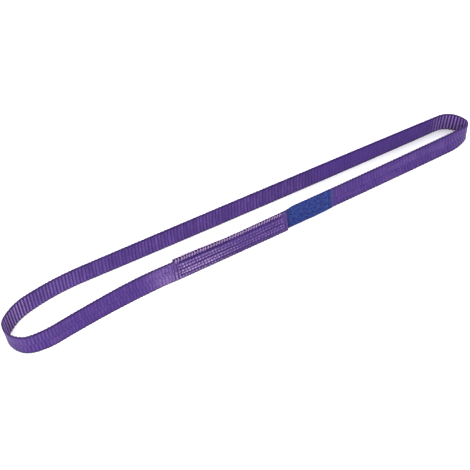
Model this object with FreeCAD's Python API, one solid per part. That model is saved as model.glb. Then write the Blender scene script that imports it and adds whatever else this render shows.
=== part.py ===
import FreeCAD
import Part
import math
import os

# Flat web sling: an endless loop of ribbed web closed by a sewn lap splice, standing on its lower edge.
# Millimetres. +X runs along the loop and +Z up the width of the web. The loop is drawn anticlockwise seen
# from above, so its outside is always on the right of the direction of travel. The front leg, on -Y,
# carries the splice, and the origin is on the floor under the middle of the loop.

# Web and label
WEB_THICKNESS = 2.0
STANDING_HEIGHT = 25.1        # of a 25 mm web, woven 25.3 mm wide, that leans a little
LABEL_THICKNESS = 0.3
PLY_PITCH = WEB_THICKNESS + LABEL_THICKNESS

# Splice: the two cut ends of the web lie over each other for this length
SPLICE_LENGTH = 116.5
SPLICE_LEAN = 3.7             # how far the top edge stands further in than the lower edge
RIGHT_LEAN = 4.2              # how much sooner the top edge turns at the right end

# The loop as a chain of straight and round stretches, from the right end of the splice round to it again:
# name, length, turn of the lower edge, turn of the top edge. Turns are in degrees, + to the left, and the
# two edges turn a little differently where the web leans or twists. A length of None is found from the
# need for the loop to close, and a turn of None is what is left of the full turn.
STRETCHES = [
    ("right_leg", 185.3, 1.1, 0.9),
    ("right_bend_front", 21.1, 26.9, 2.3),
    ("right_bend_tip", 9.0, 81.4, 100.6),
    ("right_bend_back", 29.4, None, None),
    ("back_leg", None, -1.1, 0.7),
    ("left_bend_sweep", 56.6, 14.8, 11.5),
    ("left_bend_back", 27.3, 28.5, 29.3),
    ("left_bend_tip", None, 57.0, 59.1),
    ("left_bend_front", 26.1, 69.3, 74.9),
    ("left_bend_run_out", 24.0, 19.5, 13.7),
    ("left_leg", 120.2, -7.6, -7.6),
    ("outer_ply", SPLICE_LENGTH, 0.0, 0.0),
]
FULL_TURN = 360.0
OUT = "parts"
LOWER, TOP = 0, 1

# Label
TAIL_LENGTH = 60.0            # sewn in between the plies
TAIL_TOP = 24.9
TAIL_STAND_OUT = 0.6          # how far the sewn part comes out past the cut end of the outer ply
HINGE_X = 1.6                 # the line where the free part of the label bends
FLAP_START = 1.9
FLAP_END = 50.5
FLAP_GAP = 0.3                # between the free label and the web behind it
FLAP_BULGE = 0.4              # the middle of the free label stands this much further out
FLAP_BOTTOM = 0.7
FLAP_TOP = 27.8               # wider than the web, so that it stands up past the web's top edge
FLAP_SHOULDER = (7.0, 24.4)   # the near top corner is cut off down to here

# Sewing: thread width, how far a stitch stands out of the web, and the stitch lengths
THREAD = 0.6
STITCH_RISE = 0.5
STITCH_DIP = 0.15
ROW_STITCH = 2.75
ZIGZAG_STITCH = 1.65
END_STITCH = 2.75
SEAM_START = -110.5
SEAM_END = -5.0
ROW_HEIGHTS = (20.6, 16.3, 12.2, 8.5, 4.6)
LOWER_ZIGZAG = (1.2, 3.2)
UPPER_ROW = 22.6              # the straight row of the overedge seam that holds the top edges
LOOP_LOW = 23.7               # the loops of that seam go over the top edges, down to here on each face
LOOP_START = -115.0
LOOP_COUNT = 40
LOOP_WIDTH = 0.7
END_SEAMS = {"left_end": -113.5, "right_end": -2.4}
END_SEAM_SPAN = (1.5, 21.5)


def chord(heading, length, turn):
    """The step that a stretch makes when it starts at that heading and turns by that angle."""
    if abs(turn) < 1e-9:
        return FreeCAD.Vector(length * math.cos(heading), length * math.sin(heading), 0)
    radius = length / turn
    along = radius * (math.sin(heading + turn) - math.sin(heading))
    across = radius * (math.cos(heading) - math.cos(heading + turn))
    return FreeCAD.Vector(along, across, 0)


def closed_loop(edge):
    """(heading, length, turn) of each stretch of the lower or the top edge, with the unknowns solved."""
    turns = [row[2 + edge] for row in STRETCHES]
    left_over = FULL_TURN - sum(turn for turn in turns if turn is not None)
    turns = [math.radians(left_over if turn is None else turn) for turn in turns]
    headings = [sum(turns[:i]) for i in range(len(turns))]
    lengths = [row[1] for row in STRETCHES]
    if edge == TOP:
        lengths[0] -= RIGHT_LEAN
    missing = FreeCAD.Vector(0, -PLY_PITCH, 0)
    for heading, length, turn in zip(headings, lengths, turns):
        if length is not None:
            missing = missing - chord(heading, length, turn)
    first, second = [i for i, length in enumerate(lengths) if length is None]
    a = chord(headings[first], 1.0, turns[first])
    b = chord(headings[second], 1.0, turns[second])
    scale = a.x * b.y - a.y * b.x
    lengths[first] = (missing.x * b.y - missing.y * b.x) / scale
    lengths[second] = (a.x * missing.y - a.y * missing.x) / scale
    return list(zip(headings, lengths, turns))


def strip_side(edge, out):
    """The edges of one face of the whole web, seen from above, that far outside its middle line."""
    height = STANDING_HEIGHT if edge == TOP else 0.0
    lean = SPLICE_LEAN if edge == TOP else 0.0
    at = FreeCAD.Vector(-SPLICE_LENGTH, lean, height)
    sides = []
    for heading, length, turn in [(0.0, SPLICE_LENGTH, 0.0)] + closed_loop(edge):
        points = []
        for share in (0.0, 0.5, 1.0):
            way = heading + turn * share
            outward = FreeCAD.Vector(math.sin(way), -math.cos(way), 0)
            points.append(at + chord(heading, length * share, turn * share) + outward * out)
        if turn:
            sides.append(Part.Arc(*points).toShape())
        else:
            sides.append(Part.makeLine(points[0], points[2]))
        at = at + chord(heading, length, turn)
    return sides


def strip_outline(edge):
    """The closed outline of the lower or the top edge of the web."""
    outer = strip_side(edge, WEB_THICKNESS / 2)
    inner = strip_side(edge, -WEB_THICKNESS / 2)
    outer_start, outer_end = outer[0].firstVertex().Point, outer[-1].lastVertex().Point
    inner_start, inner_end = inner[0].firstVertex().Point, inner[-1].lastVertex().Point
    caps = [Part.makeLine(outer_end, inner_end), Part.makeLine(inner_start, outer_start)]
    return Part.Wire(outer + caps[:1] + inner[::-1] + caps[1:])


def make_web():
    return Part.makeLoft([strip_outline(LOWER), strip_outline(TOP)], True, True)


# In the splice the plies are flat and lean together. The label and the threads are made as if the splice
# stood upright, with these depths measured square to it, and are then leaned over with it.
LEAN_ANGLE = math.degrees(math.atan2(SPLICE_LEAN, STANDING_HEIGHT))
SQUARE = math.cos(math.radians(LEAN_ANGLE))
INNER_FACE = SQUARE * WEB_THICKNESS / 2
GAP_INNER = -SQUARE * WEB_THICKNESS / 2
GAP_MIDDLE = -SQUARE * PLY_PITCH / 2
OUTER_FACE = -SQUARE * (PLY_PITCH + WEB_THICKNESS / 2)


def leaned(shape):
    return shape.rotated(FreeCAD.Vector(0, 0, 0), FreeCAD.Vector(1, 0, 0), -LEAN_ANGLE)


def prism(points, depth):
    """A solid from a closed outline of points, pushed along by the vector depth."""
    return Part.Face(Part.makePolygon(points + points[:1])).extrude(depth)


def make_label_tail():
    thickness = 0.95 * SQUARE * LABEL_THICKNESS
    size = (TAIL_LENGTH + TAIL_STAND_OUT, thickness, TAIL_TOP - FLAP_BOTTOM)
    corner = FreeCAD.Vector(-TAIL_LENGTH, GAP_MIDDLE - thickness / 2, FLAP_BOTTOM)
    return leaned(Part.makeBox(*size, corner))


def make_label_flap():
    near = GAP_INNER - FLAP_GAP
    middle_x = (FLAP_START + FLAP_END) / 2
    sides = []
    for depth in (near, near - LABEL_THICKNESS):
        start = FreeCAD.Vector(FLAP_START, depth, 0)
        middle = FreeCAD.Vector(middle_x, depth - FLAP_BULGE, 0)
        end = FreeCAD.Vector(FLAP_END, depth - FLAP_GAP, 0)
        sides.append((start, end, Part.Arc(start, middle, end).toShape()))
    (a_start, a_end, a_side), (b_start, b_end, b_side) = sides
    outline = Part.Wire([a_side, Part.makeLine(a_end, b_end), b_side, Part.makeLine(b_start, a_start)])
    blank = Part.Face(outline).extrude(FreeCAD.Vector(0, 0, FLAP_TOP))
    shoulder_x, shoulder_z = FLAP_SHOULDER
    front = [(FLAP_START, FLAP_BOTTOM), (FLAP_END, FLAP_BOTTOM), (FLAP_END, FLAP_TOP),
             (shoulder_x, FLAP_TOP), (FLAP_START, shoulder_z)]
    cutter = prism([FreeCAD.Vector(x, 0, z) for x, z in front], FreeCAD.Vector(0, -4 * PLY_PITCH, 0))
    return leaned(blank.common(cutter).Solids[0])


def comb(first, stitch, count, face, rise):
    """The side view of a row of stitches, as (along, depth) pairs: a low hump for each stitch on the face,
    and a leg at each needle hole that goes in to the middle of the splice."""
    humps = []
    for i in range(count):
        start = first + i * stitch
        for share, part in ((0.0, STITCH_DIP), (0.25, STITCH_RISE), (0.75, STITCH_RISE), (1.0, STITCH_DIP)):
            humps.append((start + share * stitch, face + rise * part))
    last = first + count * stitch
    legs = [(last + THREAD / 2, face + rise * STITCH_DIP)]
    for i in range(count, -1, -1):
        hole = first + i * stitch
        legs.append((hole + THREAD / 2, face if i < count else GAP_MIDDLE))
        if i < count:
            legs.append((hole + THREAD / 2, GAP_MIDDLE))
        legs.append((hole - THREAD / 2, GAP_MIDDLE))
        legs.append((hole - THREAD / 2, face if i else face + rise * STITCH_DIP))
    return [pair for i, pair in enumerate(humps) if i == 0 or pair != humps[i - 1]] + legs


def make_row(height, face, rise):
    count = int((SEAM_END - SEAM_START) / ROW_STITCH)
    outline = comb(SEAM_START, ROW_STITCH, count, face, rise)
    points = [FreeCAD.Vector(x, depth, height - THREAD / 2) for x, depth in outline]
    return leaned(prism(points, FreeCAD.Vector(0, 0, THREAD)))


def make_end_seam(x, face, rise):
    low, high = END_SEAM_SPAN
    outline = comb(low, END_STITCH, int((high - low) / END_STITCH), face, rise)
    points = [FreeCAD.Vector(x - THREAD / 2, depth, z) for z, depth in outline]
    return leaned(prism(points, FreeCAD.Vector(THREAD, 0, 0)))


def make_zigzag(low, high, face, rise):
    """A zigzag along the lower edge, with a leg in at every corner."""
    count = int((SEAM_END - SEAM_START) / ZIGZAG_STITCH)
    corners = [(SEAM_START + i * ZIGZAG_STITCH, high if i % 2 else low) for i in range(count + 1)]
    there = [FreeCAD.Vector(x, face, z + THREAD * 0.6) for x, z in corners]
    back = [FreeCAD.Vector(x, face, z - THREAD * 0.6) for x, z in reversed(corners)]
    thread = prism(there + back, FreeCAD.Vector(0, rise * STITCH_RISE, 0))
    legs = []
    for x, z in corners:
        depth = abs(face - GAP_MIDDLE)
        corner = FreeCAD.Vector(x - THREAD / 2, min(face, GAP_MIDDLE), z - THREAD / 2)
        if x == corners[0][0]:
            corner.x += THREAD / 2
        if x == corners[-1][0]:
            corner.x -= THREAD / 2
        legs.append(Part.makeBox(THREAD, depth, THREAD, corner))
    return leaned(thread.multiFuse(legs).removeSplitter().Solids[0])


def rim_height(out):
    """How high the top edges of the splice stand, that far out from the middle of the inner ply."""
    angle = math.radians(LEAN_ANGLE)
    return STANDING_HEIGHT * math.cos(angle) + (SPLICE_LEAN - out) * math.sin(angle)


def make_looper():
    """The loops of the overedge seam over both top edges, joined by a run along the inside."""
    outside = (OUTER_FACE, rim_height(PLY_PITCH + WEB_THICKNESS / 2), -1)
    inside = (INNER_FACE, rim_height(-WEB_THICKNESS / 2), 1)
    over = [(face + way * STITCH_RISE, rim + STITCH_RISE) for face, rim, way in (outside, inside)]
    under = [(face - way * STITCH_DIP, rim - STITCH_DIP) for face, rim, way in (inside, outside)]
    profile = [(over[0][0], LOOP_LOW)] + over + [(over[1][0], LOOP_LOW)]
    profile += [(under[0][0], LOOP_LOW)] + under + [(under[1][0], LOOP_LOW)]
    loops = []
    for i in range(LOOP_COUNT):
        x = LOOP_START + i * ROW_STITCH - LOOP_WIDTH / 2
        points = [FreeCAD.Vector(x, depth, z) for depth, z in profile]
        loops.append(prism(points, FreeCAD.Vector(LOOP_WIDTH, 0, 0)))
    length = (LOOP_COUNT - 1) * ROW_STITCH + LOOP_WIDTH
    corner = FreeCAD.Vector(LOOP_START - LOOP_WIDTH / 2, INNER_FACE - STITCH_DIP, LOOP_LOW)
    run = Part.makeBox(length, STITCH_RISE + STITCH_DIP, THREAD, corner)
    return leaned(run.multiFuse(loops).removeSplitter().Solids[0])


def make_threads():
    """Most seams are lockstitch: a needle thread on the outside and a bobbin thread on the inside. The
    overedge seam has a needle thread and a looper thread."""
    threads = {
        "upper_edge_needle_thread": make_row(UPPER_ROW, OUTER_FACE, -1),
        "upper_edge_looper_thread": make_looper(),
    }
    for kind, face, rise in (("needle", OUTER_FACE, -1), ("bobbin", INNER_FACE, 1)):
        for number, height in enumerate(ROW_HEIGHTS, 1):
            threads[f"row_{number}_{kind}_thread"] = make_row(height, face, rise)
        threads[f"lower_edge_{kind}_thread"] = make_zigzag(*LOWER_ZIGZAG, face, rise)
        for name, x in END_SEAMS.items():
            threads[f"{name}_{kind}_thread"] = make_end_seam(x, face, rise)
    return threads


web = make_web()
box = web.optimalBoundingBox()
middle = FreeCAD.Vector((box.XMin + box.XMax) / 2, (box.YMin + box.YMax) / 2, 0)
nodes = {"webbing_strip": web, "label_sewn_tail": make_label_tail(), "label_flap": make_label_flap()}
nodes.update(make_threads())

os.makedirs(OUT, exist_ok=True)
for name, shape in nodes.items():
    shape.translated(-middle).exportStep(os.path.join(OUT, f"{name}.step"))
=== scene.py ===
import math

import bpy
import numpy as np
from mathutils import Matrix, Vector


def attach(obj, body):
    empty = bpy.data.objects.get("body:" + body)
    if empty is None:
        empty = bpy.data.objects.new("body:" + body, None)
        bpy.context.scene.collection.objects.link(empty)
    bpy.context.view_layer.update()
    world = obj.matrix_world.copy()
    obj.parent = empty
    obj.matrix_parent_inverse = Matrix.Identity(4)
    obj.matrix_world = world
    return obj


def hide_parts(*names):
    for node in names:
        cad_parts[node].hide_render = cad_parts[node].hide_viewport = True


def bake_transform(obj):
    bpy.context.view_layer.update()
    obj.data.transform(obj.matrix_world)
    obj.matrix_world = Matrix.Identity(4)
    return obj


# The looks of a flat web sling: an endless loop of ribbed web with a sewn lap splice and a blue label.
# Metres, in the frame of the CAD part. The first block repeats the part's own dimensions.

WEB_THICKNESS = 0.0020
STANDING_HEIGHT = 0.0251
LABEL_THICKNESS = 0.0003
PLY_PITCH = WEB_THICKNESS + LABEL_THICKNESS
SPLICE_LENGTH = 0.1165
SPLICE_LEAN = 0.0037
RIGHT_LEAN = 0.0042
STRETCHES = [                 # length, turn of the lower edge, turn of the top edge
    (0.1853, 1.1, 0.9),       # right leg
    (0.0211, 26.9, 2.3),      # right bend
    (0.0090, 81.4, 100.6),
    (0.0294, None, None),
    (None, -1.1, 0.7),        # back leg
    (0.0566, 14.8, 11.5),     # left bend
    (0.0273, 28.5, 29.3),
    (None, 57.0, 59.1),
    (0.0261, 69.3, 74.9),
    (0.0240, 19.5, 13.7),
    (0.1202, -7.6, -7.6),     # left leg
    (SPLICE_LENGTH, 0.0, 0.0),
]
FULL_TURN = 360.0
LOWER, TOP = 0, 1

TAIL_LENGTH = 0.060
TAIL_TOP = 0.0249
TAIL_STAND_OUT = 0.0006
FLAP_START = 0.0019
FLAP_END = 0.0505
FLAP_GAP = 0.0003
FLAP_BULGE = 0.0004
FLAP_BOTTOM = 0.0007
FLAP_TOP = 0.0278
FLAP_SHOULDER = (0.0070, 0.0244)

ROW_STITCH = 0.00275
ZIGZAG_STITCH = 0.00165
END_STITCH = 0.00275
SEAM_START = -0.1105
SEAM_END = -0.0050
ROW_HEIGHTS = (0.0206, 0.0163, 0.0122, 0.0085, 0.0046)
LOWER_ZIGZAG = (0.0012, 0.0032)
UPPER_ROW = 0.0226
LOOP_LOW = 0.0237
LOOP_START = -0.1150
LOOP_COUNT = 40
END_SEAMS = {"left_end": -0.1135, "right_end": -0.0024}
END_SEAM_SPAN = (0.0015, 0.0215)

# How the front leg stands a little differently from the flat strips of the CAD: (amount, place, span) of
# the top edge further in or further out, and how much the overedge seam squeezes the top edges together
FRONT_LEG_REACH = 0.26        # how far the front leg goes each way from the cut ends, along the web
FURTHER_IN = (0.0011, -0.155, 0.038)
FURTHER_OUT = (0.0006, -0.050, 0.040)
SQUEEZE = 0.28
SQUEEZE_GROWS = (-0.100, -0.060)
SQUEEZE_ENDS = (0.010, -0.002)
SQUEEZE_HEIGHTS = (0.72, 0.97)        # shares of the standing height
LOWER_OUT = 0.0006            # how much further out the lower edge of the splice stands
LOWER_OUT_FADE = (0.015, 0.005)       # how far outside and inside each end of the splice

# The weave: ribs run across the web, and lie half a pitch apart above and below the middle line outside
RIB_PITCH = 0.0033
STATIONS_PER_RIB = 8
RIB_DEPTH = 0.00042
RIB_ROUNDNESS = 0.7           # under 1 for ribs that are rounder than a sine
RIB_SIZES = (0.82, 1.0)
RIB_WANDER = 0.035            # of a pitch
RIB_CROWDING = 0.012          # how much a bend deepens or flattens the ribs, for each 1/m of curvature
RIB_CROWDING_RANGE = (0.55, 1.5)
EDGE_SCALLOP = 0.00062
LOWER_SCALLOP = 0.6           # the lower edge has this share of it
SCALLOP_HEIGHT = 0.0006
MIDDLE_LINE = 0.0125
MIDDLE_GROOVE = 0.00022
MIDDLE_GROOVE_WIDTH = 0.00045
MIDDLE_JUMP = 0.0004
CUT_END = 0.0015              # over this length a cut end is thinner and has no ribs
CUT_THINNER = 0.25
CUT_LOWER = 0.0002
FLAT_RIBS = (0.378, 0.488)    # on the back leg the ribs lie flatter from here to here along the web
FLAT_FADE = 0.022
FLATTER = 0.6
# the curl drives painted highlights and shade on the ribs, strongest at this curvature
FULL_CURL = 16.0              # the curvature, in 1/m, at which the ribs show most
# the outside face gets this share of the painted highlights and shade of the bends
CURL_OUTSIDE = 0.3
BEND_WINDOW = 41              # stations that the curvature is averaged over

# How the sewing draws the face of the splice in, which also sets the painted shade in the seams, and the
# painted highlight that stands for the cloth puffing up between the stitches
SEAM_GROOVE = 0.00080         # how far a row of stitches pulls the face in
ROW_PULLS = (0.50, 0.55, 0.95, 0.60, 0.90)
ROW_WIDTHS = (0.0007, 0.0007, 0.0012, 0.0007, 0.0011)
UPPER_PULL, UPPER_WIDTH = 1.0, 0.0015
ROW_SWAY, SWAY_LENGTH, SWAY_SHIFT = 0.0003, 0.011, 400
SEAM_FADE, END_FADE = 0.003, 0.002
SOFTER = 0.4                  # the rows pull this much less in the right part of the splice
SOFTER_FROM = (-0.078, -0.050)
LOOP_OVER_BOTH = -0.033       # left of here the loops go over both plies, and right of it over the outer one
END_PULLS = ((-0.1175, 0.8), (-0.1145, 1.0), (-0.1115, 0.7), (END_SEAMS["right_end"], 0.3))
END_WIDTH = 0.0006
SEWN_FROM = -0.1200           # the marks of the sewing reach this far to the left on the outside
# the puffs between the stitches are only painted highlight, not shape: where it grows in, and each row's
# height and size
PUFF_GROWS = 0.010
PUFFS = ((0.0027, 0.8), (0.0066, 0.9), (0.0101, 0.75), (0.0145, 0.6), (0.0183, 0.45))     # height, size
PUFF_HEIGHT = 0.0012
PUFF_SHIFT = 300              # puffs in other rows are out of step by this many radians per metre
PUFF_FALLS = (-0.085, -0.050)
# how much weaker the painted highlight of the puffs is in the right part of the splice
PUFF_LESS = 0.70              # how much smaller the puffs are in the right part of the splice
# strength of the painted highlight on the top rims of the splice, above this height
RIM_HEIGHT, RIM_HIGHLIGHT = 0.0245, 0.25
# marks of painted sheen highlight on the rib crests beside the splice, weaker above the middle
SHEEN_MARKS = ((-0.124, 0.016, 0.18),)              # place, span, strength
SHEEN_LESS = 0.4               # how much weaker they are above the middle
SHEEN_FALLS = (0.011, 0.014)

# Points round a section of the web, in mm: heights on each face, steps beside each row of stitches, and
# (height, side) round the two edges, where side goes from 1 on the outside to -1 on the inside
OUTER_HEIGHTS = (0.8, 2.4, 4.6, 6.5, 8.5, 10.4, 12.0, 12.5, 13.0, 14.6, 16.3, 18.4, 20.6, 22.6, 24.3)
INNER_HEIGHTS = (0.8, 3.6, 7.2, 11.0, 14.8, 18.6, 21.8, 24.3)
OUTER_STEPS = (-1.3, -0.5, 0.5, 1.3)
INNER_STEPS = (-0.9, 0.0, 0.9)
CLOSEST = 0.25
TOP_RIM = ((24.82, 0.86), (25.1, 0.35), (25.1, -0.35), (24.82, -0.86))
LOWER_RIM = ((0.3, -0.86), (0.0, 0.0), (0.3, 0.86))
MM = 0.001

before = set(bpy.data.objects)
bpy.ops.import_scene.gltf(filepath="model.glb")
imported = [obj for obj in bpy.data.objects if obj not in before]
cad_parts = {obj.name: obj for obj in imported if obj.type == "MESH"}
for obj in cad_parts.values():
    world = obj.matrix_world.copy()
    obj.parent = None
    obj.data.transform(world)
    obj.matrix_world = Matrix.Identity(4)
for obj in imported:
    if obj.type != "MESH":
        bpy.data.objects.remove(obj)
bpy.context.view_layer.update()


# The path of the web, as in the CAD source

def smoothstep(low, high, value):
    """From 0 at low to 1 at high, smoothly. Low may be the larger of the two."""
    share = np.clip((value - low) / (high - low), 0, 1)
    return share * share * (3 - 2 * share)


def bump(value, middle, width):
    """1 at the middle, falling off smoothly to both sides."""
    return np.exp(-((value - middle) / width) ** 2)


def chord(heading, length, turn):
    """The step of a stretch that starts at that heading and turns by that angle; arrays are allowed."""
    length, turn = np.broadcast_arrays(np.asarray(length, float), np.asarray(turn, float))
    half = turn / 2
    reach = length * np.sinc(half / math.pi)
    return np.stack([reach * np.cos(heading + half), reach * np.sin(heading + half)], axis=-1)


def closed_loop(edge):
    """(heading, length, turn) of each stretch of the lower or the top edge, with the unknowns solved."""
    turns = [row[1 + edge] for row in STRETCHES]
    left_over = FULL_TURN - sum(turn for turn in turns if turn is not None)
    turns = [math.radians(left_over if turn is None else turn) for turn in turns]
    headings = [sum(turns[:i]) for i in range(len(turns))]
    lengths = [row[0] for row in STRETCHES]
    if edge == TOP:
        lengths[0] -= RIGHT_LEAN
    unknown = [i for i, length in enumerate(lengths) if length is None]
    known = [chord(h, n, t) for h, n, t in zip(headings, lengths, turns) if n is not None]
    missing = np.array([0.0, -PLY_PITCH]) - sum(known)
    steps = np.column_stack([chord(headings[i], 1.0, turns[i]) for i in unknown])
    for i, length in zip(unknown, np.linalg.solve(steps, missing)):
        lengths[i] = float(length)
    return list(zip(headings, lengths, turns))


def whole_path(edge):
    """The stretches of the whole web, from its hidden end: the inner ply of the splice comes first."""
    return [(0.0, SPLICE_LENGTH, 0.0)] + closed_loop(edge)


def walk(edge, stretch, share):
    """Points and headings of one edge of the web at those shares of those stretches."""
    stretches = whole_path(edge)
    starts = [np.array([-SPLICE_LENGTH, SPLICE_LEAN if edge == TOP else 0.0])]
    for heading, length, turn in stretches:
        starts.append(starts[-1] + chord(heading, length, turn))
    points, headings = np.zeros((len(stretch), 2)), np.zeros(len(stretch))
    for i, (heading, length, turn) in enumerate(stretches):
        here = stretch == i
        points[here] = starts[i] + chord(heading, length * share[here], turn * share[here])
        headings[here] = heading + turn * share[here]
    return points, headings


def settled(points):
    """Points of the front leg, moved in or out to where the real web and its seams draw them."""
    x, y, z = points.T
    share = z / STANDING_HEIGHT
    inward, outward = (amount * bump(x, place, span) for amount, place, span in (FURTHER_IN, FURTHER_OUT))
    face = SPLICE_LEAN * share - PLY_PITCH - WEB_THICKNESS / 2
    sewn = smoothstep(*SQUEEZE_GROWS, x) * smoothstep(*SQUEEZE_ENDS, x)
    squeezed = SQUEEZE * sewn * smoothstep(*SQUEEZE_HEIGHTS, share) * (y - face)
    outside, inside = LOWER_OUT_FADE
    in_splice = smoothstep(-SPLICE_LENGTH - outside, -SPLICE_LENGTH + inside, x)
    in_splice = in_splice * smoothstep(outside, -inside, x)
    lowered = LOWER_OUT * in_splice * (1 - share)
    return np.column_stack([x, y + (inward - outward) * share - squeezed - lowered, z])


class Path:
    """The whole web sampled at even steps along its length."""

    def __init__(self, step):
        lengths = [(a[1] + b[1]) / 2 for a, b in zip(whole_path(LOWER), whole_path(TOP))]
        ends = np.cumsum(lengths)
        self.length = float(ends[-1])
        self.along = np.append(np.arange(0.0, self.length, step), self.length)
        stretch = np.minimum(np.searchsorted(ends, self.along, side="right"), len(lengths) - 1)
        share = (self.along - (ends - lengths)[stretch]) / np.array(lengths)[stretch]
        self.edges = [walk(edge, stretch, share) for edge in (LOWER, TOP)]
        turns = np.array([(a[2] + b[2]) / 2 for a, b in zip(whole_path(LOWER), whole_path(TOP))])
        bends = np.pad((turns / np.array(lengths))[stretch], BEND_WINDOW // 2, mode="edge")
        self.bend = np.convolve(bends, np.ones(BEND_WINDOW) / BEND_WINDOW, mode="valid")
        self.outer_ply = self.along > self.length - SPLICE_LENGTH
        self.inner_ply = self.along < SPLICE_LENGTH
        self.front_leg = np.minimum(self.along, self.length - self.along) < FRONT_LEG_REACH
        outside = [self.place(height, WEB_THICKNESS / 2) for height in (0.0, STANDING_HEIGHT)]
        corners = np.concatenate(outside)
        self.middle = (corners.min(axis=0) + corners.max(axis=0)) / 2 * [1, 1, 0]

    def place(self, height, depth):
        """Points at that height of the web, that far outside its middle surface. Not yet centred."""
        (low, low_way), (top, top_way) = self.edges
        share = np.broadcast_to(height, self.along.shape) / STANDING_HEIGHT
        way = low_way + (top_way - low_way) * share
        outward = np.stack([np.sin(way), -np.cos(way)], axis=1)
        flat = low + (top - low) * share[:, None] + outward * np.reshape(depth, (-1, 1))
        points = np.column_stack([flat, np.broadcast_to(height, self.along.shape)])
        return np.where(self.front_leg[:, None], settled(points), points)


path = Path(RIB_PITCH / STATIONS_PER_RIB)


# Meshes

def make_mesh(name, points, faces, uv=None, **more_uv):
    """An object of those points and faces, with a pair of UV values for each point in each layer."""
    mesh = bpy.data.meshes.new(name)
    mesh.from_pydata([tuple(p) for p in points], [], faces)
    mesh.validate()
    mesh.shade_smooth()
    layers = {} if uv is None else {"cloth": uv, **more_uv}
    corners = np.zeros(len(mesh.loops), int)
    mesh.loops.foreach_get("vertex_index", corners)
    for layer, values in layers.items():
        uv_layer = mesh.uv_layers.new(name=layer)
        uv_layer.data.foreach_set("uv", np.asarray(values, np.float32)[corners].ravel())
    made = bpy.data.objects.new(name, mesh)
    bpy.context.scene.collection.objects.link(made)
    return made


def ring_slots():
    """The points round a section of the web: height, side from 1 outside to -1 inside, and whether the
    point is on every section (0), only outside in the splice (1) or only inside in the splice (-1)."""
    rows = [row / MM for row in ROW_HEIGHTS + (UPPER_ROW,)]
    slots = []
    for side, heights, steps, rim in ((1, OUTER_HEIGHTS, OUTER_STEPS, TOP_RIM),
                                      (-1, INNER_HEIGHTS, INNER_STEPS, LOWER_RIM)):
        beside = sorted(row + step for row in rows for step in steps)
        extra = [h for h in beside if min(abs(h - other) for other in heights) > CLOSEST]
        face = sorted([(h, side, 0) for h in heights] + [(h, side, side) for h in extra])
        slots += face[::side] + [(h, rim_side, 0) for h, rim_side in rim]
    return [(h * MM, side, kind) for h, side, kind in slots]


def rib_phase(along, height, side):
    """Ribs passed since the start of the web. The half above the middle line is half a rib ahead."""
    above = smoothstep(MIDDLE_LINE - MIDDLE_JUMP, MIDDLE_LINE + MIDDLE_JUMP, height) if side > 0 else 1.0
    return along / RIB_PITCH + 0.5 * above


SEED = 7
random = np.random.default_rng(SEED)
RIB_COUNT = int(path.length / RIB_PITCH) + 3
rib_size = random.uniform(*RIB_SIZES, RIB_COUNT)
rib_shift = random.normal(0.0, RIB_WANDER, RIB_COUNT)


def rib_relief(phase):
    """How far the surface lies below the crest of the ribs, from 0 to 1."""
    shifted = phase + np.interp(phase, np.arange(RIB_COUNT), rib_shift)
    size = rib_size[np.clip(shifted.astype(int), 0, RIB_COUNT - 1)]
    return 1 - size * np.abs(np.sin(math.pi * shifted)) ** RIB_ROUNDNESS


def flattened(along):
    """How flat the ribs lie there, from 0 to 1. Lengths along the web, from its hidden end."""
    start, end = FLAT_RIBS
    return smoothstep(start - FLAT_FADE, start, along) * smoothstep(end + FLAT_FADE, end, along)


def seam_pull(x, height, side):
    """How strongly the seams draw in the face of the splice, from 0 to 1."""
    seams = smoothstep(SEAM_START - SEAM_FADE, SEAM_START, x) * smoothstep(SEAM_END + END_FADE, SEAM_END, x)
    sway = ROW_SWAY * np.sin(x / SWAY_LENGTH + height * SWAY_SHIFT)
    rows = zip(ROW_HEIGHTS + (UPPER_ROW,), ROW_PULLS + (UPPER_PULL,), ROW_WIDTHS + (UPPER_WIDTH,))
    pull = sum(strength * bump(height + sway, row, width) for row, strength, width in rows)
    if side > 0:
        pull = pull * (1 - SOFTER * smoothstep(*SOFTER_FROM, x))
    across = END_SEAM_SPAN[0] < height < END_SEAM_SPAN[1]
    ends = sum(size * bump(x, at, END_WIDTH) for at, size in END_PULLS)
    return np.minimum(pull * seams + ends * across, 1.0)


def puff_highlight_strength(x, height):
    """How strongly the painted highlight shows, from 0 to 1: on the crests where the web puffs up between the
    stitches, on the top rims of the splice, and in sheen marks beside it.
    """
    # painted highlight on the top rims of the splice
    if height > RIM_HEIGHT:
        return RIM_HIGHLIGHT * smoothstep(LOOP_START - END_FADE, LOOP_START, x) * (x < 0)
    # painted sheen highlight in marks beside the splice
    wear_and_sheen = sum(amount * bump(x, place, span) for place, span, amount in SHEEN_MARKS)
    wear_and_sheen = wear_and_sheen * (1 - SHEEN_LESS * smoothstep(*SHEEN_FALLS, height))
    size = smoothstep(SEWN_FROM, SEWN_FROM + PUFF_GROWS, x) * (1 - PUFF_LESS * smoothstep(*PUFF_FALLS, x))
    size = size * smoothstep(SEAM_END + END_FADE, SEAM_END, x)
    between = np.abs(np.sin(math.pi * (x - SEAM_START) / ROW_STITCH + height * PUFF_SHIFT))
    return wear_and_sheen + size * between * sum(puff * bump(height, at, PUFF_HEIGHT) for at, puff in PUFFS)


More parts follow.
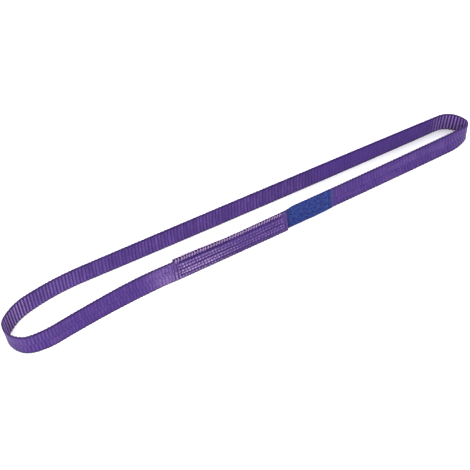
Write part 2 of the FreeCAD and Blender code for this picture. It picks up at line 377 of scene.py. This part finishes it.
def face_line(height, side):
    """The line of the web at that height and side: points and, for each point, the values of its three UV
    layers: (ribs passed, height in mm), (pulled in, painted highlight of the puffs) and (outside, curl)."""
    x = np.where(path.along > path.length / 2, path.along - path.length, path.along - SPLICE_LENGTH)
    loose = smoothstep(0.0, CUT_END, np.minimum(path.along, path.length - path.along))
    outside = side > 0
    sewn = path.along > path.length + SEWN_FROM if outside else path.inner_ply
    marked = path.outer_ply if height > RIM_HEIGHT else (path.front_leg & outside) | sewn
    pull = np.where(sewn, seam_pull(x, height, side), 0.0)
    puff_highlight = np.where(marked, puff_highlight_strength(x, height), 0.0)
    phase = rib_phase(path.along, height, side)
    relief = rib_relief(phase)
    crowding = np.clip(1 - RIB_CROWDING * path.bend * np.sign(side), *RIB_CROWDING_RANGE)
    drop = RIB_DEPTH * relief * crowding * loose * (1 - FLATTER * flattened(path.along))
    drop = drop + SEAM_GROOVE * pull
    if outside:
        drop = drop + MIDDLE_GROOVE * bump(height, MIDDLE_LINE, MIDDLE_GROOVE_WIDTH) * ~sewn
    toward_edge = smoothstep(SCALLOP_HEIGHT, 0.0, min(height, STANDING_HEIGHT - height))
    upper = height > MIDDLE_LINE
    dip = EDGE_SCALLOP * (1 if upper else LOWER_SCALLOP) * relief * loose + CUT_LOWER * (1 - loose)
    depth = side * WEB_THICKNESS / 2 * (1 - CUT_THINNER * (1 - loose)) - side * drop
    points = path.place(height + (-1 if upper else 1) * dip * toward_edge, depth) - path.middle
    curl = np.clip(path.bend / FULL_CURL, 0, 1)
    cloth = np.column_stack([phase, np.full(len(phase), height / MM)])
    sewing = np.column_stack([pull, puff_highlight])
    face = np.column_stack([np.full(len(phase), (side + 1) / 2), curl if side < 0 else CURL_OUTSIDE * curl])
    return points, cloth, sewing, face


def make_web():
    """The web: rings of points round its section, joined along its length, with more points where the
    plies are sewn together."""
    slots = ring_slots()
    lines = [face_line(height, side) for height, side, _ in slots]
    used = []
    for outer, inner in zip(path.outer_ply, path.inner_ply):
        kinds = {0} | ({1} if outer else set()) | ({-1} if inner else set())
        used.append([j for j, (_, _, kind) in enumerate(slots) if kind in kinds])
    index, count = [], 0
    for here in used:
        index.append({j: count + k for k, j in enumerate(here)})
        count += len(here)
    vertices, cloth, sewing, face = (
        [lines[j][part][i] for i, here in enumerate(used) for j in here] for part in range(4))

    def stretch_of_ring(i, a, b):
        """The points of a ring from slot a to slot b. After its last slot comes its first."""
        return [index[i][j] for j in used[i] if a <= j <= b] if a < b else [index[i][a], index[i][b]]

    faces = []
    for i in range(len(used) - 1):
        shared = [j for j in used[i] if j in index[i + 1]]
        for a, b in zip(shared, shared[1:] + shared[:1]):
            faces.append(stretch_of_ring(i, a, b) + stretch_of_ring(i + 1, a, b)[::-1])
    faces.append([index[0][j] for j in reversed(used[0])])
    faces.append([index[-1][j] for j in used[-1]])
    return make_mesh("ribbed_web", vertices, faces, cloth, sewing=sewing, face=face)


def tube(line, radius, sides=8):
    """Points, faces and (length, angle) of a round thread along a line of points, with closed ends."""
    line = np.asarray(line, float)
    ways = np.gradient(line, axis=0)
    ways /= np.linalg.norm(ways, axis=1)[:, None]
    lengths = np.concatenate([[0], np.cumsum(np.linalg.norm(np.diff(line, axis=0), axis=1))])
    across = np.cross(ways[0], [0.3, 0.2, 1.0])
    points, uv = [], []
    for at, way, length in zip(line, ways, lengths):
        across = across - way * (across @ way)
        across /= np.linalg.norm(across)
        other = np.cross(way, across)
        for k in range(sides):
            angle = 2 * math.pi * k / sides
            points.append(at + radius * (math.cos(angle) * across + math.sin(angle) * other))
            uv.append((length / MM, k / sides))
    faces = []
    for i in range(len(line) - 1):
        for k in range(sides):
            a, b = i * sides + k, i * sides + (k + 1) % sides
            faces.append([a, b, b + sides, a + sides])
    faces.append(list(range(sides))[::-1])
    faces.append([(len(line) - 1) * sides + k for k in range(sides)])
    return points, faces, uv


# The splice stands in its own square frame, which leans over by this angle

LEAN_ANGLE = math.atan2(SPLICE_LEAN, STANDING_HEIGHT)
SQUARE = math.cos(LEAN_ANGLE)
INNER_FACE = SQUARE * WEB_THICKNESS / 2
GAP_INNER = -SQUARE * WEB_THICKNESS / 2
GAP_MIDDLE = -SQUARE * PLY_PITCH / 2
OUTER_FACE = -SQUARE * (PLY_PITCH + WEB_THICKNESS / 2)


def leaned(points):
    """Points of the splice's square frame, (along, depth, height), in the part's frame."""
    x, y, z = np.asarray(points, float).T
    sin = math.sin(LEAN_ANGLE)
    return settled(np.column_stack([x, y * SQUARE + z * sin, z * SQUARE - y * sin])) - path.middle


THREAD_RADIUS = 0.00028
STITCH_TOP = 0.00022
STITCH_SINK = 0.00075
STITCH_ARCH = 0.45            # the lower, the longer a stitch stays at its full height
STITCH_POINTS = 10
SEAM_SUNK = 0.0004            # how far the seams sink into the face
LOWER_EDGE_SUNK = 0.0001
ROW_WANDER, ZIGZAG_WANDER = 0.00008, 0.00012
LOOP_RADIUS = 0.00023
LOOP_LIES_OFF = 0.7           # how far the middle of the looper thread lies off the cloth, in radii
LOOP_WANDER, LOOP_LOW_WANDER = 0.00018, 0.00025
LOOP_INSIDE = 0.0003          # how far past the middle of the gap, and how far under LOOP_LOW, it goes


def stitch_line(holes, face, out):
    """The line of a thread over the face of the web between needle holes, (along, height) pairs. Between
    two holes it lies on the face, and at each hole it goes down into the web."""
    line = []
    for (x0, z0), (x1, z1) in zip(holes, holes[1:]):
        for share in np.arange(STITCH_POINTS) / STITCH_POINTS:
            arch = math.sin(math.pi * share) ** STITCH_ARCH
            depth = face + out * (STITCH_TOP * arch - STITCH_SINK * (1 - arch))
            line.append((x0 + (x1 - x0) * share, depth, z0 + (z1 - z0) * share))
    x, z = holes[-1]
    line.append((x, face - out * STITCH_SINK, z))
    return line


def row_holes(height):
    """The needle holes of a row along the splice."""
    count = int((SEAM_END - SEAM_START) / ROW_STITCH)
    wander = random.normal(0, ROW_WANDER, count + 1)
    return [(SEAM_START + i * ROW_STITCH, height + wander[i]) for i in range(count + 1)]


def zigzag_holes(low, high):
    """The needle holes of a zigzag along the splice."""
    count = int((SEAM_END - SEAM_START) / ZIGZAG_STITCH)
    wander = random.normal(0, ZIGZAG_WANDER, count + 1)
    return [(SEAM_START + i * ZIGZAG_STITCH, (high if i % 2 else low) + wander[i]) for i in range(count + 1)]


def end_holes(x):
    """The needle holes of a seam across an end of the splice."""
    low, high = END_SEAM_SPAN
    count = int((high - low) / END_STITCH)
    wander = random.normal(0, ROW_WANDER, count + 1)
    return [(x + wander[i], low + i * END_STITCH) for i in range(count + 1)]


def rim_height(out):
    """How high the top edges of the splice stand, that far out from the middle of the inner ply."""
    return STANDING_HEIGHT * SQUARE + (SPLICE_LEAN - out) * math.sin(LEAN_ANGLE)


def looper_line():
    """The looper thread: up the outside, over the top edges at a slant, and down the inside. To the right
    it goes down between the plies."""
    rise = LOOP_RADIUS * LOOP_LIES_OFF
    outer_rim = rim_height(PLY_PITCH + WEB_THICKNESS / 2)
    inner_rim, gap_rim = rim_height(-WEB_THICKNESS / 2), rim_height(PLY_PITCH / 2)
    line = []
    for i in range(LOOP_COUNT):
        x = LOOP_START + i * ROW_STITCH + random.normal(0, LOOP_WANDER)
        over_both = x < LOOP_OVER_BOTH
        far, rim = (INNER_FACE + rise, inner_rim) if over_both else (GAP_MIDDLE + LOOP_INSIDE, gap_rim)
        low = LOOP_LOW + random.normal(0, LOOP_LOW_WANDER)
        turns = [                 # share of the stitch, depth, height
            (0.0, OUTER_FACE - rise, low),
            (0.08, OUTER_FACE - rise, (low + outer_rim) / 2),
            (0.20, OUTER_FACE - 0.6 * rise, outer_rim),
            (0.28, OUTER_FACE + rise, outer_rim + rise),
            (0.45, (OUTER_FACE + far) / 2, (outer_rim + rim) / 2 + rise),
            (0.58, far - 2 * rise, rim + rise),
            (0.64, far, rim - 0.2 * rise),
            (0.68, far, low),
            (0.80, GAP_MIDDLE, LOOP_LOW - LOOP_INSIDE),
        ]
        line += [(x + share * ROW_STITCH, depth, height) for share, depth, height in turns]
    return line


def make_threads():
    """Both threads of every seam."""
    threads = {}
    for kind, face, out in (("needle", OUTER_FACE, -1), ("bobbin", INNER_FACE, 1)):
        seams = {f"row_{number}": row_holes(height) for number, height in enumerate(ROW_HEIGHTS, 1)}
        if kind == "needle":
            seams["upper_edge"] = row_holes(UPPER_ROW)
        seams["lower_edge"] = zigzag_holes(*LOWER_ZIGZAG)
        seams.update({name: end_holes(x) for name, x in END_SEAMS.items()})
        for seam, holes in seams.items():
            depth = face - out * (LOWER_EDGE_SUNK if seam == "lower_edge" else SEAM_SUNK)
            points, faces, uv = tube(leaned(stitch_line(holes, depth, out)), THREAD_RADIUS)
            threads[f"{seam}_{kind}_thread"] = make_mesh(f"{seam}_{kind}_stitches", points, faces, uv)
    points, faces, uv = tube(leaned(looper_line()), LOOP_RADIUS)
    threads["upper_edge_looper_thread"] = make_mesh("upper_edge_looper_stitches", points, faces, uv)
    return threads


LABEL_COLUMNS = 216
LABEL_ROWS = 26
TAIL_LOWER, SHOULDER_HIGHER, TOP_HIGHER = 0.0004, 0.0005, 0.0002     # the top edge, against the CAD
PEAK = (0.0011, 0.0025, 0.0005)       # height, place, width
WAVES_FROM = (0.004, 0.020)
WAVES = ((0.16, 0.0046, 2.2, 0.0), (0.12, 0.0021, -5.0, 1.0))       # size, length, slant, start
WAVE_SIZE, END_CURL_SIZE = 0.6, 0.5
END_CURL_FROM = 0.042
CORNER, CORNER_LENGTH = 0.0011, 0.0016
LIFTED, LIFTED_FROM = 0.0008, (0.020, 0.048)     # how far the lower edge rises towards the free end


def label_depth(x):
    """The middle of the label's thickness: between the plies, then out over the web beside the splice."""
    near = GAP_INNER - FLAP_GAP - LABEL_THICKNESS / 2
    share = np.clip((x - FLAP_START) / (FLAP_END - FLAP_START), 0, 1)
    bulge = FLAP_BULGE * 4 * share * (1 - share) + FLAP_GAP * share
    out = smoothstep(TAIL_STAND_OUT, FLAP_START, x)
    return GAP_MIDDLE + (near - bulge - GAP_MIDDLE) * out


def label_top(x):
    """The top edge of the label: low in the splice, a small peak beside it, then up over the shoulder."""
    shoulder_end, shoulder = FLAP_SHOULDER
    tail, middle, top = TAIL_TOP - TAIL_LOWER, shoulder + SHOULDER_HIGHER, FLAP_TOP + TOP_HIGHER
    step = (middle - tail) * smoothstep(0.0, FLAP_START, x)
    rise = (top - middle) * smoothstep(FLAP_START, shoulder_end, x)
    size, place, width = PEAK
    return tail + step + rise + size * bump(x, place, width)


def label_wave(x, share):
    """Small waves in the free part of the label."""
    waves = sum(size * np.sin(x / length + slant * share + start) for size, length, slant, start in WAVES)
    end_curl = smoothstep(END_CURL_FROM, FLAP_END, x) * (0.5 - 0.35 * np.cos(3 * share))
    return -MM * smoothstep(*WAVES_FROM, x) * (WAVE_SIZE * waves + END_CURL_SIZE * end_curl)


def make_label():
    """The label: a grid of points on each side, joined round the rim."""
    x = np.linspace(-TAIL_LENGTH, FLAP_END, LABEL_COLUMNS)
    vertices, uv = [], []
    for side in (-1, 1):
        for column in x:
            for row in np.linspace(0, 1, LABEL_ROWS):
                rounded = CORNER * smoothstep(FLAP_END - CORNER_LENGTH, FLAP_END, column) ** 2
                low = FLAP_BOTTOM + rounded + LIFTED * smoothstep(*LIFTED_FROM, column)
                high = label_top(column) - rounded
                depth = label_depth(column) + label_wave(column, row) + side * LABEL_THICKNESS / 2
                height = low + (high - low) * row
                vertices.append((column, depth, height))
                uv.append((column / MM, height / MM))
    faces = []
    layer = LABEL_COLUMNS * LABEL_ROWS
    for i in range(LABEL_COLUMNS - 1):
        for j in range(LABEL_ROWS - 1):
            a = i * LABEL_ROWS + j
            b = a + LABEL_ROWS
            faces.append([a, b, b + 1, a + 1])
            faces.append([a + layer, a + 1 + layer, b + 1 + layer, b + layer])
    last = (LABEL_COLUMNS - 1) * LABEL_ROWS
    rim = [i * LABEL_ROWS for i in range(LABEL_COLUMNS)]
    rim += [last + j for j in range(1, LABEL_ROWS)]
    rim += [i * LABEL_ROWS + LABEL_ROWS - 1 for i in reversed(range(LABEL_COLUMNS - 1))]
    rim += [j for j in reversed(range(1, LABEL_ROWS - 1))]
    for a, b in zip(rim, rim[1:] + rim[:1]):
        faces.append([b, a, a + layer, b + layer])
    return make_mesh("label_cloth", leaned(vertices), faces, uv)


# Materials

class Shade:
    """A material and short ways to add nodes to it."""

    def __init__(self, name, cloth=True):
        self.material = bpy.data.materials.new(name)
        self.material.use_nodes = True
        self.tree = self.material.node_tree
        self.surface = self.tree.nodes["Principled BSDF"]
        if cloth:
            self.u, self.v = self.layer("cloth")

    def layer(self, name):
        """The two values that a UV layer of that name holds."""
        uv = self.node("UVMap", {}, uv_map=name)
        apart = self.node("SeparateXYZ", {0: uv.outputs[0]})
        return apart.outputs[0], apart.outputs[1]

    def node(self, kind, inputs, **settings):
        made = self.tree.nodes.new("ShaderNode" + kind)
        for name, value in settings.items():
            setattr(made, name, value)
        for name, value in inputs.items():
            if isinstance(value, bpy.types.NodeSocket):
                self.tree.links.new(value, made.inputs[name])
            else:
                made.inputs[name].default_value = value
        return made

    def math(self, operation, *values):
        return self.node("Math", dict(enumerate(values)), operation=operation).outputs[0]

    def times(self, a, b):
        return self.math("MULTIPLY", a, b)

    def ridge(self, value, power):
        """A row of bumps, one for each whole step of the value, from 0 between them to 1."""
        wave = self.math("ABSOLUTE", self.math("SINE", self.times(value, math.pi)))
        return self.math("POWER", wave, power)

    def steps(self, value, low, high, start=0.0, end=1.0):
        """Smoothly from start to end as the value goes from low to high. Low may be the larger of the two."""
        inputs = {0: value, 1: low, 2: high, 3: start, 4: end}
        return self.node("MapRange", inputs, interpolation_type="SMOOTHSTEP").outputs[0]

    def band(self, value, start, full, fading, end):
        """1 while the value goes from full to fading, and 0 before the start and after the end."""
        return self.times(self.steps(value, start, full), self.steps(value, end, fading))

    def vector(self, x, y):
        return self.node("CombineXYZ", {0: x, 1: y}).outputs[0]

    def noise(self, vector, scale, detail=3.0):
        return self.node("TexNoise", {"Vector": vector, "Scale": scale, "Detail": detail}).outputs[0]

    def mix(self, share, a, b):
        """The colour a, with that share of the colour b over it."""
        return self.node("Mix", {0: share, 6: a, 7: b}, data_type="RGBA").outputs[2]

    def finish(self, colour, height, distance, roughness, **constants):
        """Joins colour, bump and roughness to the shader; the rest are plain numbers or colours."""
        relief = self.node("Bump", {"Height": height, "Strength": 1.0, "Distance": distance})
        self.tree.links.new(colour, self.surface.inputs["Base Color"])
        self.tree.links.new(relief.outputs[0], self.surface.inputs["Normal"])
        self.tree.links.new(roughness, self.surface.inputs["Roughness"])
        for name, value in constants.items():
            self.surface.inputs[name.replace("_", " ").title().replace("Ior", "IOR")].default_value = value
        return self.material


VIOLET = (0.097, 0.042, 0.242, 1)
# the web's deep tone for mottling and patches, and also painted shade in the rib valleys, between the yarns,
# in bends and on the outside face
VIOLET_DEEP = (0.027, 0.008, 0.098, 1)
# painted highlight on the rib crests
VIOLET_CREST_HIGHLIGHT = (0.270, 0.165, 0.420, 1)
# painted highlight on the puffs between the stitches and on the splice's top rims
VIOLET_PUFF_HIGHLIGHT = (0.510, 0.355, 0.640, 1)
VIOLET_WORN = (0.160, 0.085, 0.280, 1)
# painted glints on the rib crests in bends
VIOLET_BEND_GLINT = (0.330, 0.205, 0.480, 1)
# painted shade on the stretch of the back leg where the ribs lie flat
VIOLET_FLAT_STRETCH_SHADE = (0.057, 0.019, 0.186, 1)
# painted shade along the edges
VIOLET_EDGE_SHADE = (0.016, 0.006, 0.045, 1)
# the violet thread's own colour, also used for painted shade in the seam grooves
VIOLET_THREAD_AND_SEAM_SHADE = (0.022, 0.005, 0.080, 1)
VIOLET_MELTED = (0.034, 0.016, 0.095, 1)
PINK_THREAD = (0.400, 0.275, 0.440, 1)
# painted shade between the pink thread's turns, and its darker fluffy spots
PINK_SHADE = (0.200, 0.105, 0.270, 1)
BLUE = (0.004, 0.014, 0.130, 1)
BLUE_PALE = (0.011, 0.042, 0.200, 1)
BLUE_DEEP = (0.001, 0.004, 0.070, 1)
BLUE_VIOLET = (0.040, 0.028, 0.135, 1)
FLOOR_DIM = (0.96, 0.96, 0.96, 1)
FLOOR_BRIGHT = (0.98, 0.98, 0.98, 1)


# Sizes and places in the materials, in mm: up from the lower edge, and for the label also along from the
# end of the splice. In a pair the change goes from the first to the second, and a band has four.
YARN_PITCH = 0.92
# bands of painted shade along the lower and top edges
EDGE_SHADE_BELOW, EDGE_SHADE_ABOVE = (2.6, 1.0), (23.2, 24.4)
TWIST_PITCH = 0.9
WEAVE_PER_MM = 2.4
# painted shade where the label comes out of the splice, and where the free end turns violet
LABEL_SHADE_START, VIOLET_END = (4.5, 1.0), (47.0, 50.0)
# a painted highlight line beside the dark bent mark, and the mark itself
MARK_HIGHLIGHT, MARK_DARK = (43.2, 43.8, 44.5, 44.9), (45.0, 45.4, 46.2, 46.8)
MARK_HEIGHTS, MARK_MIDDLE, MARK_HALF, MARK_BOW = (10.0, 12.0, 20.0, 23.0), 14.0, 9.0, 0.7
FOOT_ALONG, FOOT_HEIGHTS = (40.5, 42.5, 46.0, 46.6), (9.3, 10.3, 11.6, 12.6)
BORDER_BELOW, BORDER_ABOVE = (1.8, 0.9), (26.6, 27.6)


def web_colour(s, rib, grain, filaments, curl, outside):
    """The colour of the web away from its seams, ends and edges, and its fine mottling, with painted shade in
    the valleys between the ribs and yarns, in bends and over the outside face, and painted highlights on the
    rib crests.
    """
    along = s.times(s.u, RIB_PITCH / MM)
    spot = s.vector(along, s.v)
    ribs_apart = s.noise(s.vector(s.times(s.u, 0.9), s.times(s.v, 0.03)), 1.0, 2.0)
    patches = s.noise(spot, 0.045, 2.0)
    mottle = s.noise(spot, 0.35, 3.0)
    wear_and_sheen = s.noise(s.vector(s.times(along, 0.4), s.v), 0.09, 3.0)
    # painted shade: darker in the valleys between the ribs
    colour = s.mix(s.steps(rib, 0.15, 0.85), VIOLET_DEEP, VIOLET)
    colour = s.mix(s.steps(ribs_apart, 0.54, 0.40, 0.0, 0.32), colour, VIOLET_DEEP)
    # painted shade between the yarns
    colour = s.mix(s.steps(grain, 0.75, 0.1, 0.0, 0.35), colour, VIOLET_DEEP)
    # painted highlight on the rib crests, broken up by the filaments
    lit = s.times(s.steps(filaments, 0.45, 0.75), s.steps(rib, 0.6, 1.0))
    colour = s.mix(s.times(lit, s.steps(ribs_apart, 0.45, 0.62, 0.15, 0.75)), colour, VIOLET_CREST_HIGHLIGHT)
    # painted glints on the rib crests, stronger in tighter bends
    bend_glints = s.times(s.steps(rib, 0.80, 1.0), s.steps(filaments, 0.32, 0.52))
    colour = s.mix(s.times(bend_glints, curl), colour, VIOLET_BEND_GLINT)
    # painted shade between the ribs in bends
    colour = s.mix(s.times(s.steps(rib, 0.88, 0.58), curl), colour, VIOLET_DEEP)
    colour = s.mix(s.times(s.steps(wear_and_sheen, 0.50, 0.66, 0.0, 0.55), outside), colour, VIOLET_WORN)
    colour = s.mix(s.steps(patches, 0.35, 0.65, 0.0, 0.25), colour, VIOLET_DEEP)
    colour = s.mix(s.steps(mottle, 0.40, 0.70, 0.0, 0.35), colour, VIOLET_DEEP)
    # painted shade: the whole outside face is darkened, as it catches more light than the inside
    return s.mix(s.times(outside, 0.61), colour, VIOLET_DEEP), mottle


def web_material(length):
    """Violet ribs, with painted shade in the seams and on the edges, and painted highlight where the cloth
    puffs up and in sheen marks.
    """
    s = Shade("ribbed_violet_polyester")
    outside, curl = s.layer("face")
    pull, puff_highlight = s.layer("sewing")
    rib = s.ridge(s.u, 0.55)
    parity = s.math("FLOORED_MODULO", s.math("FLOOR", s.u), 2.0)
    grain = s.ridge(s.math("ADD", s.math("DIVIDE", s.v, YARN_PITCH), s.times(parity, 0.5)), 0.5)
    filaments = s.noise(s.vector(s.times(s.u, 0.35 * RIB_PITCH / MM), s.times(s.v, 6.0)), 1.6, 4.0)
    colour, mottle = web_colour(s, rib, grain, filaments, curl, outside)
    # painted shade in the seam grooves, over the thread's own colour
    colour = s.mix(pull, colour, VIOLET_THREAD_AND_SEAM_SHADE)
    start, end = (at / RIB_PITCH for at in FLAT_RIBS)
    fade = FLAT_FADE / RIB_PITCH
    flat = s.band(s.u, start - fade, start, end, end + fade)
    # painted shade on the stretch of the back leg where the ribs lie flat
    colour = s.mix(s.times(flat, 0.75), colour, VIOLET_FLAT_STRETCH_SHADE)
    # painted shade along the lower and top edges, strongest at the lower edge
    edge = s.math("ADD", s.steps(s.v, *EDGE_SHADE_BELOW, 0.0, 1.25), s.steps(s.v, *EDGE_SHADE_ABOVE))
    colour = s.mix(s.times(edge, 0.75), colour, VIOLET_EDGE_SHADE)
    # painted highlight on the crests of the puffs and on the top rims of the splice, faded out in the seams
    highlight_share = s.times(puff_highlight, s.steps(rib, 0.3, 0.9, 0.3, 1.0))
    highlight_share = s.times(highlight_share, s.steps(mottle, 0.66, 0.40, 0.45, 1.0))
    colour = s.mix(s.times(highlight_share, s.steps(pull, 0.2, 0.8, 1.0, 0.0)), colour, VIOLET_PUFF_HIGHLIGHT)
    ribs = length / RIB_PITCH
    melted = s.math("ADD", s.steps(s.u, 1.0, 0.4), s.steps(s.u, ribs - 0.5, ribs + 0.1))
    colour = s.mix(s.times(melted, 0.45), colour, VIOLET_MELTED)
    height = s.times(rib, s.math("ADD", 0.5, s.times(grain, 0.5)))
    height = s.math("ADD", height, s.times(filaments, 0.25))
    roughness = s.steps(s.math("ADD", filaments, s.times(melted, -0.5)), 0.2, 0.8, 0.45, 0.65)
    return s.finish(colour, height, 0.00016, roughness, specular_ior_level=0.10, sheen_weight=0.02,
                    sheen_roughness=0.4, sheen_tint=(0.75, 0.6, 1.0, 1))


def thread_material(name, base, dark):
    """Twisted thread, with painted shade between its turns, and darker in fluffy spots."""
    s = Shade(name)
    twist = s.ridge(s.math("ADD", s.math("DIVIDE", s.u, TWIST_PITCH), s.v), 0.6)
    fluff = s.noise(s.vector(s.u, s.v), 2.3, 3.0)
    # painted shade between the turns of the twist
    colour = s.mix(s.steps(twist, 0.1, 0.7), dark, base)
    colour = s.mix(s.steps(fluff, 0.35, 0.7, 0.0, 0.5), colour, dark)
    roughness = s.steps(fluff, 0.3, 0.7, 0.45, 0.6)
    return s.finish(colour, twist, 0.00006, roughness, specular_ior_level=0.2, sheen_weight=0.03)


def label_marks(s, colour):
    """A bent mark near the free end, with a painted highlight line beside it and a foot under it."""
    lean = s.math("DIVIDE", s.math("SUBTRACT", s.v, MARK_MIDDLE), MARK_HALF)
    bow = s.math("ADD", s.u, s.times(s.times(lean, lean), MARK_BOW))
    upright = s.times(s.band(bow, *MARK_DARK), s.band(s.v, *MARK_HEIGHTS))
    foot = s.times(s.band(s.v, *FOOT_HEIGHTS), s.band(s.u, *FOOT_ALONG))
    # painted highlight: a pale line beside the bent mark
    colour = s.mix(s.times(s.band(bow, *MARK_HIGHLIGHT), 0.5), colour, BLUE_PALE)
    return s.mix(s.times(s.math("MAXIMUM", upright, foot), 0.8), colour, BLUE_DEEP)


def label_material():
    """Mottled blue cloth with a darker border, painted shade where it comes out of the splice, and violet
    towards its free end.
    """
    s = Shade("coated_blue_label")
    spot = s.vector(s.u, s.v)
    weave = s.times(s.ridge(s.times(s.u, WEAVE_PER_MM), 0.7), s.ridge(s.times(s.v, WEAVE_PER_MM), 0.7))
    blotches = s.noise(spot, 0.34, 4.0)
    fine = s.noise(spot, 0.9, 3.0)
    colour = s.mix(s.steps(blotches, 0.38, 0.62), BLUE_DEEP, BLUE_PALE)
    colour = s.mix(0.3, colour, BLUE)
    colour = s.mix(s.steps(fine, 0.42, 0.62, 0.0, 0.7), colour, BLUE_DEEP)
    # painted shade where the label comes out from between the plies
    colour = s.mix(s.steps(s.u, *LABEL_SHADE_START, 0.0, 0.55), colour, BLUE_DEEP)
    colour = s.mix(s.steps(s.u, *VIOLET_END, 0.0, 0.8), colour, BLUE_VIOLET)
    colour = label_marks(s, colour)
    border = s.math("ADD", s.steps(s.v, *BORDER_BELOW), s.steps(s.v, *BORDER_ABOVE))
    colour = s.mix(s.times(border, 0.6), colour, BLUE_DEEP)
    roughness = s.steps(fine, 0.3, 0.7, 0.42, 0.58)
    return s.finish(colour, s.math("ADD", s.times(weave, 0.5), fine), 0.00005, roughness,
                    specular_ior_level=0.10, sheen_weight=0.01)


def floor_material():
    """A near-white floor with the faintest grain."""
    s = Shade("pale_floor", cloth=False)
    spot = s.node("TexCoord", {}).outputs["Object"]
    tone = s.mix(s.noise(spot, 3.0, 2.0), FLOOR_DIM, FLOOR_BRIGHT)
    roughness = s.steps(s.noise(spot, 5.0), 0.0, 1.0, 0.7, 0.8)
    return s.finish(tone, s.noise(spot, 400.0, 2.0), 0.00001, roughness)


web = make_web()
web.data.materials.append(web_material(path.length))
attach(web, "sling")
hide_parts("webbing_strip")

violet_thread = thread_material("violet_thread", VIOLET_THREAD_AND_SEAM_SHADE, VIOLET_THREAD_AND_SEAM_SHADE)
pink_thread = thread_material("pale_pink_thread", PINK_THREAD, PINK_SHADE)
for node, stitches in make_threads().items():
    on_edge = node == "upper_edge_looper_thread"
    stitches.data.materials.append(pink_thread if on_edge else violet_thread)
    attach(stitches, "sling")
    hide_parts(node)

label = make_label()
label.data.materials.append(label_material())
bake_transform(label)
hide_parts("label_flap", "label_sewn_tail")


# Floor, lights and camera

FLOOR_REACH = 6
floor_corners = [(x * FLOOR_REACH, y * FLOOR_REACH, 0) for x, y in ((-1, -1), (1, -1), (1, 1), (-1, 1))]
floor = make_mesh("floor", floor_corners, [[0, 1, 2, 3]])
floor.data.materials.append(floor_material())

WORLD_STRENGTH = 0.85
world = bpy.data.worlds.new("studio")
world.use_nodes = True
world.node_tree.nodes["Background"].inputs["Color"].default_value = (1, 1, 1, 1)
world.node_tree.nodes["Background"].inputs["Strength"].default_value = WORLD_STRENGTH
bpy.context.scene.world = world


def area_light(name, place, size, power):
    """A square light that faces the middle of the part."""
    lamp = bpy.data.lights.new(name, "AREA")
    lamp.shape = "SQUARE"
    lamp.size = size
    lamp.energy = power
    made = bpy.data.objects.new(name, lamp)
    made.location = place
    made.rotation_mode = "QUATERNION"
    made.rotation_quaternion = (-Vector(place)).to_track_quat("-Z", "Y")
    bpy.context.scene.collection.objects.link(made)


area_light("key", place=(-0.70, -0.95, 0.95), size=0.7, power=17.5)
area_light("top", place=(0.2, 0.3, 1.9), size=1.6, power=42)

CAMERA_ELEVATION = math.radians(55.92)
CAMERA_HEADING = math.radians(26.19)
CAMERA_ROLL = math.radians(2.13)
CAMERA_DISTANCE = 1.1266
CAMERA_TARGET = Vector((-0.01188, 0.00261, 0.0))
CAMERA_SENSOR = 36.0
CAMERA_LENS = 91.69
CAMERA_CLIP = 0.01

back = Vector((-math.cos(CAMERA_ELEVATION) * math.sin(CAMERA_HEADING),
               -math.cos(CAMERA_ELEVATION) * math.cos(CAMERA_HEADING), math.sin(CAMERA_ELEVATION)))
right = Vector((math.cos(CAMERA_HEADING), -math.sin(CAMERA_HEADING), 0))
up = back.cross(right)
rolled_right = right * math.cos(CAMERA_ROLL) - up * math.sin(CAMERA_ROLL)
rolled_up = right * math.sin(CAMERA_ROLL) + up * math.cos(CAMERA_ROLL)
camera = bpy.data.objects.new("camera", bpy.data.cameras.new("camera"))
camera.data.sensor_width = CAMERA_SENSOR
camera.data.lens = CAMERA_LENS
camera.data.clip_start = CAMERA_CLIP
camera.matrix_world = (Matrix.Translation(CAMERA_TARGET + back * CAMERA_DISTANCE)
                       @ Matrix((rolled_right, rolled_up, back)).transposed().to_4x4())
bpy.context.scene.collection.objects.link(camera)
bpy.context.scene.camera = camera
bpy.context.scene.view_settings.view_transform = "Standard"
